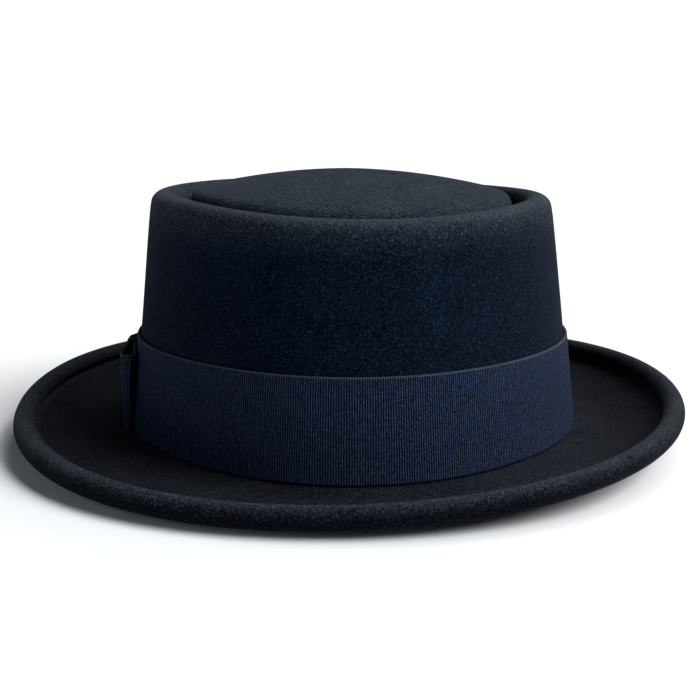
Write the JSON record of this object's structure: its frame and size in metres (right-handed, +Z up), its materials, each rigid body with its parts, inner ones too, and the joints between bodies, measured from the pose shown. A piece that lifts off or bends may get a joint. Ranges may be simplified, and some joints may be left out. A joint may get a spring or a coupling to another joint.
{
  "type": "porkpie hat",
  "caption": "Felt porkpie hat: flat-topped oval crown with a rolled rim, groove and raised tip, narrow upturned brim, wide ribbon band with a flat side bow, and an inner sweatband.",
  "frame": {"origin": "on the surface that the hat rests on, under the middle of the brim", "axes": "+Z up, -Y towards the front of the hat, the bow at -X, the brim's longest way along Y"},
  "size_m": [0.2548, 0.2838, 0.0983],
  "materials": {
    "felt": "matte wool felt, very dark navy black",
    "ribbon": "grosgrain ribbon with fine upright ribs, dark navy",
    "sweatband": "smooth thin leather, black"
  },
  "bodies": {
    "root": {"felt_body": "felt", "ribbon_band": "ribbon", "bow_loop_front": "ribbon", "bow_loop_back": "ribbon", "bow_knot": "ribbon", "sweatband": "sweatband"}
  },
  "joints": []
}
